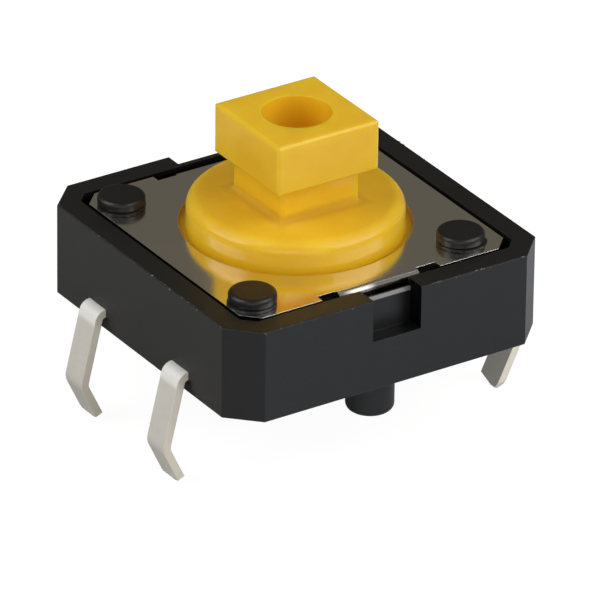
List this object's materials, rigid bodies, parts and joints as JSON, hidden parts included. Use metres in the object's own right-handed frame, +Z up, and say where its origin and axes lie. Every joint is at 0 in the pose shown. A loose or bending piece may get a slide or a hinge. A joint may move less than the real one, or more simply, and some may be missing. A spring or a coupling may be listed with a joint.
{
  "type": "tactile push button switch",
  "caption": "Square tactile push button switch for a printed board, with a raised square plunger, a metal cover plate, kinked through-hole leads and locating pegs.",
  "frame": {"origin": "centre of the housing's underside, in the plane of the board", "axes": "+Z up along the plunger, the leads leave the +X and -X sides, the pegs and notches are on the Y axis"},
  "size_m": [0.0138, 0.012, 0.0105],
  "materials": {
    "housing": "satin black",
    "cover_plate": "bright rolled",
    "plunger": "semi-gloss yellow",
    "click_dome": "bright",
    "terminals": "matte tin plate"
  },
  "bodies": {
    "base": {"housing": "housing", "cover_plate": "cover_plate", "click_dome": "click_dome", "edge_contact_strip": "terminals", "centre_contact_strip": "terminals"},
    "button": {"plunger": "plunger"}
  },
  "joints": [
    {"name": "plunger_press", "type": "slide", "parent": "base", "child": "button", "axis": [0, 0, -1], "range_m": [0, 0.0003], "stiffness_N_per_m": 6000, "springref_m": -0.0001, "deforming": ["click_dome"]}
  ]
}
